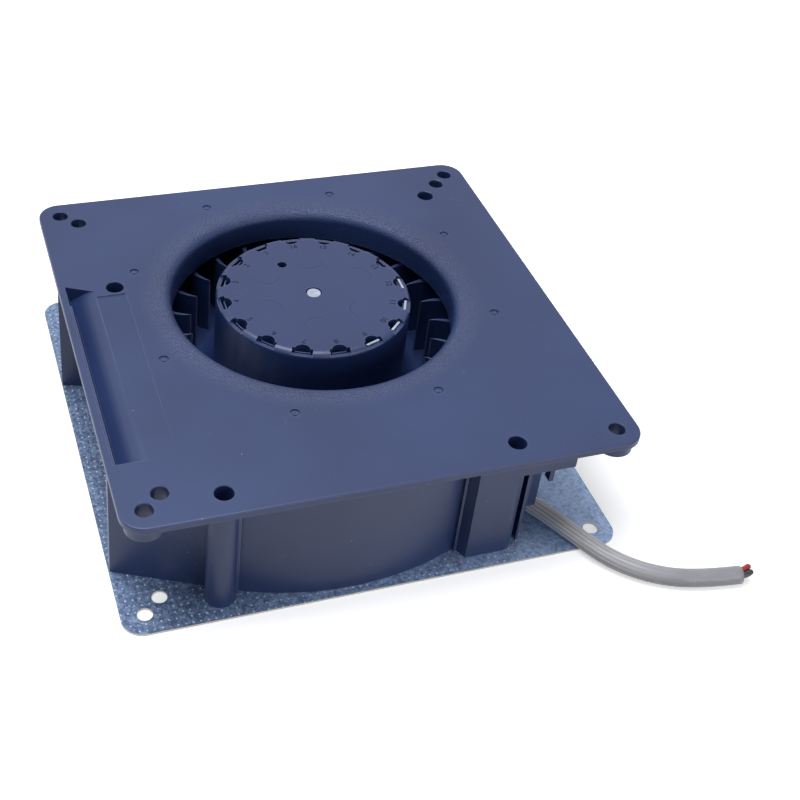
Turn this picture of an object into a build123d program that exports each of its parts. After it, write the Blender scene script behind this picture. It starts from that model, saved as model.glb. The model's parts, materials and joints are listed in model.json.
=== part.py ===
from build123d import *
from math import cos, degrees, radians, sin, sqrt, tan
import os

os.makedirs("parts", exist_ok=True)

# Compact radial fan with a scroll housing and an external rotor motor, in millimetres.
# The origin is the middle of the base plate's underside. +Z is up, out of the inlet,
# +X runs along the front edge and the air leaves on the -X side.

# Whole fan
plate_side = 220.0
overall_height = 61.0
mount_inset = 10.0
second_hole_inset = 17.5
second_hole_corners = ((-1, -1), (1, 1), (-1, 1))
rotor_x = 2.8
rotor_to_back = 93.5

# Base plate, a galvanised steel pressing
base_thickness = 1.0
base_corner_radius = 9.0
base_hole_radius = 3.25
coin_radius = 5.0
coin_width = 0.6
coin_depth = 0.15

# Scroll housing, one plastic moulding
cover_thickness = 3.0
cover_corner_radius = 10.0
cover_edge_radius = 0.8
cover_hole_radius = 3.6
corner_boss_radius = 8.0
corner_boss_drop = 6.0
wall = 2.5
hole_chamfer = 0.4
throat_radius = 65.1
bell_rounding = 5.0
bell_depth = 15.0
bell_wall = 2.2
pilot_count = 8
pilot_circle_radius = 83.4
pilot_radius = 2.4
pilot_depth = 0.7
pilot_bump_radius = 1.0
pilot_bump_height = 0.4
panel_inset = 15.5
panel_width = 13.2
panel_front_y = -68.0
panel_back_y = 33.5
panel_depth = 0.5

# Scroll spiral, seen from above: the radius grows clockwise from the tongue
tongue_angle = 160.0
tongue_radius = 86.0
scroll_growth = 0.0198
scroll_front_gap = 4.675
scroll_start = -4.0
scroll_end = 279.6
scroll_steps = 12
outlet_inset = 0.5
outlet_front_y = -74.6
outlet_back_rise = 8.0

# Outlet lip, the trough moulded into the cover over the outlet
trough_front_step = 0.6
trough_back_rise = 4.4
trough_end_slope = 0.48
trough_rim = 3.0
trough_depth = 7.8
trough_wall_slant = 2.2
trough_ramp = 8.8
trough_shoulder = 8.0
trough_ledge_drop = 1.6
trough_ledge_width = 0.7
trough_ledge_back_y = 31.0

# Screw posts of the housing
post_radius = 6.25
post_bore_radius = 4.0
post_ledge = 2.0
tongue_post_offset = (-87.8, 22.5)
front_post_offset = (-7.1, -1.5)
box_post_offset = (-5.8, 4.8)
back_post_inset = 27.0
post_rib = 2.0
joint_rib_width = 1.2
joint_rib_length = 3.6

# Lead box, hood and strain relief at the front right
box_left_turn = 233.9
box_left_slant = 3.1
box_right_x = 61.0
box_front_inset = 7.0
box_depth = 25.0
box_corner_radius = 5.0
hood_drop = 12.5
hood_right_x = 82.5
hood_wall = 2.0
fin_thickness = 1.0
fin_gap = 2.9
fin_inset = 4.4
fin_count = 2
fin_step = 4.0
fin_setback = 5.0
clamp_x = 74.0
clamp_inset = 15.8
clamp_width = 5.8
clamp_squeeze = 0.2
hook_x = 76.5
hook_inset = 8.6
hook_drop = 29.0
hook_width = 2.1
hook_depth = 3.9

# Housing screws
screw_shank_radius = 1.75
screw_head_radius = 3.4
screw_head_height = 2.4
screw_recess_depth = 1.2
screw_recess_width = 1.0
collar_wall = 0.9
collar_height = 1.8
thread_engagement = 0.1

# Motor, from the base plate up
flange_radius = 34.0
flange_thickness = 3.0
flange_screw_circle = 27.5
flange_screw_count = 3
board_gap = 5.0
board_thickness = 1.6
board_radius = 35.5
tube_radius = 12.0
tube_foot_radius = 2.0
tube_neck_radius = 8.6
lower_bearing_height = 9.0
stator_rise = 8.4
stack_height = 18.0
stator_radius = 32.0
tooth_count = 6
yoke_width = 4.5
tooth_width = 8.0
tooth_tip_width = 2.5
slot_opening = 3.0
insulator_thickness = 1.2
insulator_margin = 0.6
insulator_flange = 4.5
insulator_flange_width = 0.9
coil_thickness = 2.8
coil_corner = 1.6
peg_count = 3
peg_radius = 1.5

# Board components
capacitor_radius = 2.3
capacitor_length = 8.0
capacitor_circle = 24.0
capacitor_angle = 90.0
transistor_size = (6.5, 6.0, 2.3)
transistor_circle = 29.5
transistor_count = 4
sensor_size = (4.1, 1.5, 3.0)
sensor_circle = 34.0

# Bearings, the common 7 x 19 x 6 size
shaft_radius = 3.5
bearing_radius = 9.5
bearing_width = 6.0
inner_race_radius = 5.3
outer_race_inner_radius = 7.7
ball_radius = 1.95
ball_count = 7
groove_clearance = 0.04
cage_width = 0.9
cage_height = 4.8

# Rotor
air_gap = 0.55
magnet_thickness = 4.0
magnet_length = 24.0
bell_wall_thickness = 1.6
bell_corner = 3.0
bell_bottom = 12.5
bush_length = 12.2
bush_radius = 6.5
bush_collar_radius = 5.2
bush_collar_height = 1.0
bush_flange_radius = 12.0
bush_flange_thickness = 2.5
bush_rim_height = 1.2
shaft_bottom = 3.0
shaft_chamfer = 0.4
shaft_recess = 0.4
ring_groove_depth = 0.6
ring_thickness = 0.8
ring_radius = 6.4
ring_opening = 4.4
spring_washer_thickness = 0.35
spring_washer_radius = 5.0
spring_washer_rise = 0.8

# Impeller, one plastic moulding
wheel_radius = 79.0
wheel_floor = 11.0
disc_thickness = 2.0
hub_radius = 45.0
hub_skin = 2.0
hub_face_thickness = 2.5
hub_edge_radius = 3.0
hub_flare = 8.0
shroud_gap = 0.5
shroud_thickness = 2.0
shroud_inner_radius = 68.0
blade_count = 25
blade_phase = 3.8
blade_inner_radius = 56.0
blade_sweep = 9.0
blade_thickness = 2.0
blade_tail = 1.0
blade_bow = 3.3
grip_rib = 1.5
seat_ring_inner = 15.0
seat_ring_outer = 18.0
seat_ring_height = 4.5
shaft_hole_clearance = 0.3
locating_hole_radius = 2.25
locating_hole_circle = 25.0
locating_hole_angle = 110.0

# Balancing pockets in the hub's rim, and their clips
pocket_count = 16
first_pocket_angle = 111.2
pocket_slot_width = 9.4
pocket_slot_depth = 1.9
pocket_round = 3.6
pocket_rim = 1.95
pocket_reach = 4.4
pocket_depth = 6.2
pocket_wall = 1.2
pocket_notch = 1.8
divider_inset = 1.25
divider_thickness = 0.6
divider_width = 6.8
divider_drop = 2.2
clip_width = 7.0
clip_thickness = 1.0
clip_height = 5.4
clip_seat = 0.2
clip_pockets = (9, 10, 11, 12)

# Leads: a sleeve over a red and a black wire
sleeve_diameter = 8.0
sleeve_lift = 0.1
mouth_length = 9.0
sleeve_points = (
    (70.5, -37.5, 5.1),
    (80.6, -22.0, 5.1),
    (91.5, 0.5, 5.1),
    (99.5, 13.5, 4.7),
    (113.0, 24.5, 4.3),
    (131.0, 31.2, 4.1),
    (150.0, 33.2, 4.1),
)
wire_diameter = 2.4
wire_offset = 1.5
wire_first_run = 8.0
wire_inward = 19.8
wire_low = 2.9
wire_route = ((70.0, 2.35), (50.0, 2.6), (40.0, 4.1), (34.5, 5.9), (30.5, 6.4))
red_tail = 5.5
black_tail = 4.2

# Fits
seat_clearance = 0.02
hang_clearance = 0.3

# Levels and radii that follow from the sizes above
base_top = base_thickness
cover_top = overall_height
cover_under = cover_top - cover_thickness
housing_height = cover_under - base_top
mouth_radius = throat_radius + bell_rounding
bell_lip = cover_top - bell_depth
half_side = plate_side / 2
rotor_y = half_side - rotor_to_back
front_turn = tongue_angle + 90
scroll_growth_square = (half_side + rotor_y - scroll_front_gap - tongue_radius
                        - scroll_growth * front_turn) / front_turn ** 2
flange_top = base_top + flange_thickness
board_bottom = flange_top + board_gap
board_top = board_bottom + board_thickness
stack_bottom = board_top + stator_rise
stack_top = stack_bottom + stack_height
stack_middle = (stack_bottom + stack_top) / 2
hub_face = cover_top
hub_inner_face = hub_face - hub_face_thickness
bell_top = hub_inner_face - seat_ring_height
bush_top = bell_top + bush_rim_height
bush_bottom = bush_top - bush_length
upper_bearing_middle = bush_bottom - bearing_width / 2
tube_top = bush_bottom
magnet_inner = stator_radius + air_gap
magnet_outer = magnet_inner + magnet_thickness
bell_inner = magnet_outer + seat_clearance
bell_outer = bell_inner + bell_wall_thickness
disc_top = wheel_floor + disc_thickness
shroud_top = bell_lip - shroud_gap
shroud_bottom = shroud_top - shroud_thickness
shaft_top = hub_face - shaft_recess

screw_tip = base_top - base_thickness * 0.8
ledge_top = base_top + collar_height + hang_clearance + post_ledge
sleeve_top = base_top + sleeve_lift + sleeve_diameter
box_front_y = -half_side + box_front_inset
box_back_y = box_front_y + box_depth
fin_front_y = box_front_y + fin_inset
fin_length = box_depth - fin_inset + wall
fin_bottom = (base_top, sleeve_top + hang_clearance)
sleeve_route = [(x, -half_side - past_edge, z) for x, past_edge, z in sleeve_points]
sleeve_start = Vector(*sleeve_route[0])
sleeve_end = Vector(*sleeve_route[-1])
first_run = (sleeve_start - Vector(*sleeve_route[1])).normalized()
last_run = (sleeve_end - Vector(*sleeve_route[-2])).normalized()
sleeve_side = Vector(-first_run.Y, first_run.X)
end_side = Vector(-last_run.Y, last_run.X)
mouth_plane = Plane(origin=sleeve_start, x_dir=sleeve_side, z_dir=first_run)

spin_axis = Axis((rotor_x, rotor_y, 0), (0, 0, 1))
side_plane = Plane(origin=(rotor_x, rotor_y, 0), x_dir=(1, 0, 0), z_dir=(0, -1, 0))


def level(height):
    """The horizontal plane through the rotor axis at one height."""
    return Plane(origin=(rotor_x, rotor_y, height))


def around(radius, angle):
    """A point of the plate, by its radius and angle about the rotor axis."""
    return (rotor_x + radius * cos(radians(angle)), rotor_y + radius * sin(radians(angle)))


def facing(angle, height, radius=0.0):
    """An upright plane that faces outward from the rotor axis."""
    outward = (cos(radians(angle)), sin(radians(angle)), 0)
    sideways = (-sin(radians(angle)), cos(radians(angle)), 0)
    return Plane(origin=(*around(radius, angle), height), x_dir=sideways, z_dir=outward)


def spiral_radius(turn):
    """Radius of the scroll's outer face, by the angle turned clockwise from the tongue."""
    return tongue_radius + scroll_growth * turn + scroll_growth_square * turn * turn


def spiral_point(turn, inset=0.0):
    return around(spiral_radius(turn) - inset, tongue_angle - turn)


def corner_radii(route):
    """The largest even bend at each corner of a lead's route."""
    points = [Vector(point) for point in route]
    radii = []
    for before, corner, after in zip(points, points[1:], points[2:]):
        run_in = corner - before
        run_out = after - corner
        half_turn = radians(run_in.get_angle(run_out)) / 2
        radii.append(0.45 * min(run_in.length, run_out.length) / tan(half_turn))
    return radii


def write(piece, name):
    piece.part.label = name
    export_step(piece.part, f"parts/{name}.step")


# Where the scroll ends, the four screw posts and the corner holes
end_outer = spiral_point(scroll_end)
end_inner = spiral_point(scroll_end, wall)
tongue_post = (rotor_x + tongue_post_offset[0], rotor_y + tongue_post_offset[1])
front_post = (end_outer[0] + front_post_offset[0], end_outer[1] + front_post_offset[1])
box_post = (box_right_x + box_post_offset[0], box_front_y + box_post_offset[1])
back_post = (half_side - back_post_inset, half_side - back_post_inset)
mount_places = [(x_sign * (half_side - mount_inset), y_sign * (half_side - mount_inset))
                for x_sign in (-1, 1) for y_sign in (-1, 1)]
second_places = [(x_sign * (half_side - second_hole_inset), y_sign * (half_side - second_hole_inset))
                 for x_sign, y_sign in second_hole_corners]

# The base plate: corner holes, and four collars drawn up for the housing screws
# and three for the motor screws
screw_posts = (tongue_post, front_post, box_post, back_post)
collar_radius = screw_shank_radius - thread_engagement
collar_outer = collar_radius + collar_wall
flange_screws = [around(flange_screw_circle, 30 + 360 / flange_screw_count * n)
                 for n in range(flange_screw_count)]

with BuildPart() as base_plate:
    with BuildSketch():
        RectangleRounded(plate_side, plate_side, base_corner_radius)
    extrude(amount=base_thickness)
    with BuildSketch(Plane.XY.offset(base_top)):
        with Locations(*screw_posts, *flange_screws):
            Circle(collar_outer)
    extrude(amount=collar_height)
    with Locations(*screw_posts, *flange_screws):
        Hole(collar_radius)
    with Locations(*mount_places, *second_places):
        Hole(base_hole_radius)
    with BuildSketch(Plane.XY.offset(base_top)):
        with Locations(*mount_places):
            Circle(coin_radius + coin_width / 2)
            Circle(coin_radius - coin_width / 2, mode=Mode.SUBTRACT)
    extrude(amount=-coin_depth, mode=Mode.SUBTRACT)
write(base_plate, "base_plate")

# The scroll wall's plan: the spiral, then the straight front wall of the outlet
outlet_x = -half_side + outlet_inset
outlet_back_y = tongue_post[1] + outlet_back_rise
front_wall_angle = Vector(outlet_x - end_outer[0], outlet_front_y - end_outer[1]).get_angle(
    Vector(-1, 0))
outlet_front_inner_y = outlet_front_y + wall / cos(radians(front_wall_angle))
turns = [scroll_start + (scroll_end - scroll_start) * n / scroll_steps
         for n in range(scroll_steps + 1)]

with BuildSketch(Plane.XY.offset(base_top)) as scroll_plan:
    with BuildLine():
        Spline([spiral_point(turn) for turn in turns])
        Line(end_outer, (outlet_x, outlet_front_y))
        Line((outlet_x, outlet_front_y), (outlet_x, outlet_front_inner_y))
        Line((outlet_x, outlet_front_inner_y), end_inner)
        Spline([spiral_point(turn, wall) for turn in reversed(turns)])
        Line(spiral_point(scroll_start, wall), spiral_point(scroll_start))
    make_face()

# The air channel inside the spiral, which nothing outside it reaches into
with BuildSketch(Plane.XY.offset(base_top)) as channel_plan:
    with BuildLine():
        Spline([spiral_point(turn, wall) for turn in turns])
        Polyline(end_inner, (rotor_x, rotor_y), spiral_point(scroll_start, wall))
    make_face()

# The box at the front right, open below, with the third screw post in it
box_left_root = spiral_point(box_left_turn)
with BuildSketch(Plane.XY.offset(base_top)) as box_outline:
    with BuildLine():
        Polyline(
            box_left_root,
            (box_left_root[0] + box_left_slant, box_front_y),
            (box_right_x, box_front_y),
            (box_right_x, box_back_y),
            (box_left_root[0], box_left_root[1] + wall),
            close=True,
        )
    make_face()
    fillet(box_outline.vertices().sort_by(Axis.X)[-2:].sort_by(Axis.Y)[0], box_corner_radius)

with BuildSketch(Plane.XY.offset(base_top)) as box_plan:
    add(box_outline.sketch)
    offset(amount=-wall, kind=Kind.INTERSECTION, mode=Mode.SUBTRACT)
    with Locations(box_post):
        Circle(post_radius)
    add(box_outline.sketch, mode=Mode.INTERSECT)

# The back screw post stands off the scroll wall on a rib
back_post_place = Vector(back_post[0] - rotor_x, back_post[1] - rotor_y)
back_post_angle = back_post_place.get_angle(Vector(1, 0))
back_post_turn = tongue_angle - back_post_angle
rib_root = around(spiral_radius(back_post_turn) - wall / 2, back_post_angle)
outlet_back_run = Vector(*tongue_post) - Vector(outlet_x, outlet_back_y)

with BuildSketch(Plane.XY.offset(base_top)) as post_plan:
    with Locations(tongue_post, front_post, back_post):
        Circle(post_radius)
    with BuildLine(mode=Mode.PRIVATE) as back_post_rib:
        Line(rib_root, back_post)
    trace(back_post_rib.line, line_width=post_rib)
    with BuildLine() as outlet_back_wall:
        Line((outlet_x, outlet_back_y), tongue_post)
    trace(outlet_back_wall.line, line_width=wall)
    with Locations(end_outer, box_left_root):
        Rectangle(joint_rib_width, joint_rib_length)

# The outlet trough: a steep wall just inside the edge, then a ramp up to the cover. Its back
# end is cut on a slant
trough_front_y = outlet_front_y + trough_front_step
trough_back_y = tongue_post[1] + trough_back_rise
trough_rim_x = -half_side + trough_rim
trough_floor_x = trough_rim_x + trough_wall_slant
trough_ramp_x = trough_floor_x + trough_ramp
trough_floor = cover_top - trough_depth
trough_length = trough_back_y - trough_front_y
trough_plane = Plane.XZ.offset(-trough_back_y)
trough_ledge_x = trough_rim_x + trough_wall_slant * trough_ledge_drop / trough_depth
trough_shoulder_x = trough_ramp_x + trough_shoulder
trough_shoulder_y = trough_back_y - trough_end_slope * (trough_shoulder_x - trough_rim_x)

with BuildPart() as trough_cut:
    with BuildSketch(trough_plane) as trough_section:
        Polygon(
            (trough_rim_x, cover_top + cover_thickness),
            (trough_rim_x, cover_top),
            (trough_floor_x, trough_floor),
            (trough_ramp_x, cover_top),
            (trough_shoulder_x, cover_top),
            (trough_shoulder_x, cover_top + cover_thickness),
            align=None,
        )
        ramp_top = trough_section.vertices().sort_by_distance((trough_ramp_x, cover_top))
        fillet(ramp_top[0], trough_shoulder)
    extrude(amount=trough_length)
    with BuildSketch(Plane.XY.offset(cover_top + cover_thickness)):
        Polygon(
            (trough_rim_x, trough_back_y),
            (trough_shoulder_x, trough_shoulder_y),
            (trough_shoulder_x, trough_back_y),
            align=None,
        )
    extrude(amount=-trough_depth - cover_thickness, mode=Mode.SUBTRACT)

with BuildPart() as scroll_housing:
    with BuildSketch(Plane.XY.offset(cover_under)):
        RectangleRounded(plate_side, plate_side, cover_corner_radius)
    extrude(amount=cover_thickness)
    fillet(scroll_housing.faces().sort_by(Axis.Z)[-1].edges(), cover_edge_radius)
    with BuildSketch(Plane.XY.offset(cover_under)):
        with Locations(*mount_places, *second_places):
            Circle(corner_boss_radius)
    extrude(amount=-corner_boss_drop)

    add(scroll_plan.sketch)
    add(post_plan.sketch)
    add(box_plan.sketch)
    extrude(amount=housing_height)

    # hood in front of the strain relief
    with BuildSketch(Plane.XY.offset(cover_under)):
        with Locations((hood_right_x, box_front_y)):
            Rectangle(hood_right_x - box_right_x + box_corner_radius, hood_wall,
                      align=(Align.MAX, Align.MIN))
    extrude(amount=-hood_drop)

    # strain relief: the first fin stands on the base, the second ends above the sleeve
    for n in range(fin_count):
        with BuildSketch(Plane.XY.offset(cover_under)):
            with Locations((box_right_x + fin_gap + n * fin_step, fin_front_y + n * fin_setback)):
                Rectangle(fin_thickness, fin_length - n * fin_setback, align=Align.MIN)
        extrude(amount=fin_bottom[n] - cover_under)
    with BuildSketch(Plane.XY.offset(cover_under)):
        with Locations((clamp_x, box_front_y + clamp_inset)):
            Rectangle(clamp_width, fin_thickness)
    extrude(amount=sleeve_top - clamp_squeeze - cover_under)
    with BuildSketch(Plane.XY.offset(cover_under)):
        with Locations((hook_x, box_front_y + hook_inset)):
            Rectangle(hook_width, hook_depth)
    extrude(amount=cover_thickness - hook_drop)
    add(channel_plan.sketch)
    extrude(amount=housing_height, mode=Mode.SUBTRACT)

    # outlet lip under the trough
    with BuildSketch(trough_plane.offset(-wall)):
        Polygon(
            (-half_side + outlet_inset, cover_under),
            (trough_floor_x - wall, trough_floor - wall),
            (trough_floor_x + wall / 2, trough_floor - wall),
            (trough_ramp_x + wall, cover_under),
            align=None,
        )
    extrude(amount=trough_length + 2 * wall)

    # the inlet, then its rolled rim
    with BuildSketch(level(cover_top)):
        Circle(mouth_radius)
    extrude(amount=-cover_thickness, mode=Mode.SUBTRACT)
    with BuildSketch(side_plane):
        with BuildLine():
            Line((mouth_radius, cover_top), (mouth_radius + wall, cover_top))
            Line((mouth_radius + wall, cover_top), (mouth_radius + wall, cover_under))
            Line((mouth_radius + wall, cover_under), (mouth_radius, cover_top - bell_wall))
            RadiusArc((mouth_radius, cover_top - bell_wall),
                      (throat_radius + bell_wall, cover_top - bell_rounding),
                      bell_wall - bell_rounding)
            Line((throat_radius + bell_wall, cover_top - bell_rounding),
                 (throat_radius + bell_wall, bell_lip))
            Line((throat_radius + bell_wall, bell_lip), (throat_radius, bell_lip))
            Line((throat_radius, bell_lip), (throat_radius, cover_top - bell_rounding))
            RadiusArc((throat_radius, cover_top - bell_rounding), (mouth_radius, cover_top),
                      bell_rounding)
        make_face()
    revolve(axis=spin_axis)

    # the trough over the outlet, with a narrow ledge along its steep wall
    add(trough_cut.part, mode=Mode.SUBTRACT)
    with BuildSketch(Plane.XZ.offset(-trough_ledge_back_y)):
        Polygon(
            (trough_rim_x, cover_top - trough_ledge_drop),
            (trough_ledge_x + trough_ledge_width, cover_top - trough_ledge_drop),
            (trough_floor_x + trough_ledge_width, trough_floor),
            (trough_rim_x, trough_floor),
            align=None,
        )
    extrude(amount=trough_ledge_back_y - trough_front_y)

    # corner holes, screw posts and the sleeve's way through the wall
    with BuildSketch(Plane.XY.offset(cover_top)):
        with Locations(*mount_places, *second_places):
            Circle(cover_hole_radius)
    extrude(amount=-cover_thickness - corner_boss_drop, mode=Mode.SUBTRACT)
    with BuildSketch(Plane.XY.offset(cover_top)):
        with Locations(*screw_posts):
            Circle(post_bore_radius)
    extrude(amount=ledge_top - cover_top, mode=Mode.SUBTRACT)
    top_circles = scroll_housing.edges().filter_by(GeomType.CIRCLE).group_by(Axis.Z)[-1]
    chamfer(top_circles.filter_by(lambda edge: edge.radius <= post_bore_radius), hole_chamfer)
    with BuildSketch(Plane.XY.offset(ledge_top)):
        with Locations(*screw_posts):
            Circle(screw_shank_radius + hang_clearance)
    extrude(amount=base_top - ledge_top, mode=Mode.SUBTRACT)
    with BuildSketch(Plane.XY.offset(base_top)):
        with Locations(*screw_posts):
            Circle(collar_outer + hang_clearance)
    extrude(amount=collar_height + hang_clearance, mode=Mode.SUBTRACT)
    with BuildSketch(mouth_plane):
        Circle(sleeve_diameter / 2 + hang_clearance)
        Rectangle(sleeve_diameter + 2 * hang_clearance, sleeve_diameter,
                  align=(Align.CENTER, Align.MAX))
    extrude(amount=mouth_length, both=True, mode=Mode.SUBTRACT)

    # pilot marks for a finger guard, and the plain panel beside the trough: a flat recess
    # that is deepest at its back end
    with BuildSketch(level(cover_top)):
        with PolarLocations(pilot_circle_radius, pilot_count, start_angle=180 / pilot_count):
            Circle(pilot_radius)
    extrude(amount=-pilot_depth, mode=Mode.SUBTRACT)
    with BuildSketch(level(cover_top - pilot_depth)):
        with PolarLocations(pilot_circle_radius, pilot_count, start_angle=180 / pilot_count):
            Circle(pilot_bump_radius)
    extrude(amount=pilot_bump_height)
    with BuildSketch(Plane.YZ.offset(-half_side + panel_inset)):
        Polygon(
            (panel_front_y, cover_top),
            (panel_back_y, cover_top - panel_depth),
            (panel_back_y, cover_top),
            align=None,
        )
    extrude(amount=panel_width, mode=Mode.SUBTRACT)
write(scroll_housing, "scroll_housing")

# Thread forming screws with pan heads: four hold the housing, three the motor
for name, places, seat in (("housing_screws", screw_posts, ledge_top),
                           ("motor_screws", flange_screws, flange_top)):
    with BuildPart() as screws:
        with BuildSketch(Plane.XY.offset(screw_tip)):
            with Locations(*places):
                Circle(screw_shank_radius)
        extrude(amount=seat - screw_tip)
        with BuildSketch(Plane.XY.offset(seat)):
            with Locations(*places):
                Circle(screw_head_radius)
        extrude(amount=screw_head_height)
        with BuildSketch(Plane.XY.offset(seat + screw_head_height)):
            with Locations(*places):
                Rectangle(screw_head_radius, screw_recess_width)
                Rectangle(screw_recess_width, screw_head_radius)
        extrude(amount=-screw_recess_depth, mode=Mode.SUBTRACT)
    write(screws, name)

# The motor flange, die cast aluminium: a foot and the tube that carries both bearings
with BuildPart() as motor_flange:
    with BuildSketch(level(base_top)):
        Circle(flange_radius)
    extrude(amount=flange_thickness)
    with BuildSketch(level(base_top)):
        Circle(tube_radius)
    extrude(amount=tube_top - base_top)
    foot_edge = motor_flange.edges().filter_by(GeomType.CIRCLE).group_by(Axis.Z)[-2]
    fillet(foot_edge.sort_by(SortBy.RADIUS)[0], tube_foot_radius)
    with BuildSketch(level(base_top)):
        Circle(tube_neck_radius)
    extrude(amount=tube_top - base_top, mode=Mode.SUBTRACT)
    with BuildSketch(level(base_top)):
        Circle(bearing_radius)
    extrude(amount=lower_bearing_height + bearing_width / 2 - base_top, mode=Mode.SUBTRACT)
    with BuildSketch(level(tube_top)):
        Circle(bearing_radius)
    extrude(amount=-bearing_width, mode=Mode.SUBTRACT)
    with BuildSketch(Plane.XY.offset(base_top)):
        with Locations(*flange_screws):
            Circle(screw_shank_radius + hang_clearance)
    extrude(amount=flange_thickness, mode=Mode.SUBTRACT)
    with BuildSketch(Plane.XY.offset(base_top)):
        with Locations(*flange_screws):
            Circle(collar_outer + hang_clearance)
    extrude(amount=collar_height + hang_clearance, mode=Mode.SUBTRACT)
write(motor_flange, "motor_flange")

# Stator: a laminated core with an insulating cap on each end and a coil on each tooth
slot_angle = 180 / tooth_count
core_bore = tube_radius + seat_clearance
yoke_radius = core_bore + yoke_width
tip_inner = stator_radius - tooth_tip_width

with BuildPart() as stator_core:
    with BuildSketch(level(stack_bottom)):
        Circle(stator_radius)
        Circle(tip_inner, mode=Mode.SUBTRACT)
        Circle(yoke_radius)
        with PolarLocations(0, tooth_count):
            Rectangle(tip_inner + tooth_tip_width / 2, tooth_width, align=(Align.MIN, Align.CENTER))
        with PolarLocations(stator_radius, tooth_count, start_angle=slot_angle):
            Rectangle(3 * tooth_tip_width, slot_opening, mode=Mode.SUBTRACT)
        Circle(core_bore, mode=Mode.SUBTRACT)
    extrude(amount=stack_height)
write(stator_core, "stator_core")


def insulator(face, outward, name, pegs):
    """A cap on one end of the core; the lower one stands on the board by its pegs."""
    with BuildPart() as cap:
        with BuildSketch(level(face)):
            Circle(tip_inner + tooth_tip_width / 2)
            Circle(coil_end, mode=Mode.SUBTRACT)
            Circle(yoke_radius + insulator_margin)
            with PolarLocations(0, tooth_count):
                Rectangle(tip_inner, insulator_width, align=(Align.MIN, Align.CENTER))
            with PolarLocations(stator_radius, tooth_count, start_angle=slot_angle):
                Rectangle(4 * tooth_tip_width, slot_opening + 2 * insulator_margin,
                          mode=Mode.SUBTRACT)
            Circle(core_bore, mode=Mode.SUBTRACT)
        extrude(amount=outward * insulator_thickness)
        with BuildSketch(level(face)):
            Circle(coil_end + insulator_flange_width)
            Circle(coil_end, mode=Mode.SUBTRACT)
            with PolarLocations(stator_radius, tooth_count, start_angle=slot_angle):
                Rectangle(4 * tooth_tip_width, slot_opening + 2 * insulator_margin,
                          mode=Mode.SUBTRACT)
        extrude(amount=outward * (insulator_thickness + insulator_flange))
        if pegs:
            with BuildSketch(level(face)):
                with PolarLocations(core_bore + yoke_width / 2, peg_count, start_angle=slot_angle):
                    Circle(peg_radius)
            extrude(amount=board_top - face)
    write(cap, name)


coil_start = yoke_radius + insulator_margin + seat_clearance
coil_end = tip_inner - insulator_flange_width
insulator_width = tooth_width + 2 * insulator_margin
insulator(stack_top, 1, "upper_insulator", False)
insulator(stack_bottom, -1, "lower_insulator", True)

coil_hole_width = insulator_width + 2 * seat_clearance
coil_hole_height = stack_height + 2 * (insulator_thickness + seat_clearance)
coil_reach = sqrt((coil_end - seat_clearance) ** 2 - (coil_hole_width / 2 + coil_thickness) ** 2)

with BuildPart() as stator_windings:
    for tooth in range(tooth_count):
        with BuildSketch(facing(tooth * 2 * slot_angle, stack_middle, coil_start)):
            RectangleRounded(coil_hole_width + 2 * coil_thickness,
                             coil_hole_height + 2 * coil_thickness, coil_corner)
            Rectangle(coil_hole_width, coil_hole_height, mode=Mode.SUBTRACT)
        extrude(amount=coil_reach - coil_start)
write(stator_windings, "stator_windings")

# The ring shaped circuit board under the stator, and what stands on it
with BuildPart() as circuit_board:
    with BuildSketch(level(board_bottom)):
        Circle(board_radius)
        Circle(tube_radius + hang_clearance, mode=Mode.SUBTRACT)
    extrude(amount=board_thickness)
write(circuit_board, "circuit_board")

with BuildPart() as drive_transistors:
    with BuildSketch(level(board_top)):
        with PolarLocations(transistor_circle, transistor_count, start_angle=180 / transistor_count):
            Rectangle(transistor_size[1], transistor_size[0])
    extrude(amount=transistor_size[2])
write(drive_transistors, "drive_transistors")

with BuildPart() as hall_sensor:
    with BuildSketch(level(board_top)):
        with Locations((sensor_circle, 0)):
            Rectangle(sensor_size[1], sensor_size[0])
    extrude(amount=sensor_size[2])
write(hall_sensor, "hall_sensor")

with BuildPart() as filter_capacitor:
    with BuildSketch(facing(capacitor_angle, board_bottom - capacitor_radius, capacitor_circle)):
        Circle(capacitor_radius)
    extrude(amount=capacitor_length / 2, both=True)
write(filter_capacitor, "filter_capacitor")


def ball_bearing(middle, name):
    """Two grooved races, the balls between them and the cage that spaces them."""
    pitch = (shaft_radius + bearing_radius) / 2
    low = middle - bearing_width / 2
    ball_places = [(*around(pitch, 360 / ball_count * n), middle) for n in range(ball_count)]
    for part_name, inside, outside in (
        ("inner_race", shaft_radius + seat_clearance, inner_race_radius),
        ("outer_race", outer_race_inner_radius, bearing_radius - seat_clearance),
    ):
        with BuildPart() as race:
            with BuildSketch(level(low)):
                Circle(outside)
                Circle(inside, mode=Mode.SUBTRACT)
            extrude(amount=bearing_width)
            with BuildSketch(side_plane):
                with Locations((pitch, middle)):
                    Circle(ball_radius + groove_clearance)
            revolve(axis=spin_axis, mode=Mode.SUBTRACT)
        write(race, f"{name}_{part_name}")
    with BuildPart() as cage:
        with BuildSketch(level(middle - cage_height / 2)):
            Circle(pitch + cage_width / 2)
            Circle(pitch - cage_width / 2, mode=Mode.SUBTRACT)
        extrude(amount=cage_height)
        for n in range(ball_count):
            with BuildSketch(facing(360 / ball_count * n, middle, pitch)):
                Circle(ball_radius + groove_clearance)
            extrude(amount=cage_width, both=True, mode=Mode.SUBTRACT)
    write(cage, f"{name}_cage")
    with BuildPart() as balls:
        with Locations(*ball_places):
            Sphere(ball_radius)
    write(balls, f"{name}_balls")


ball_bearing(lower_bearing_height, "lower_bearing")
ball_bearing(upper_bearing_middle, "upper_bearing")

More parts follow.
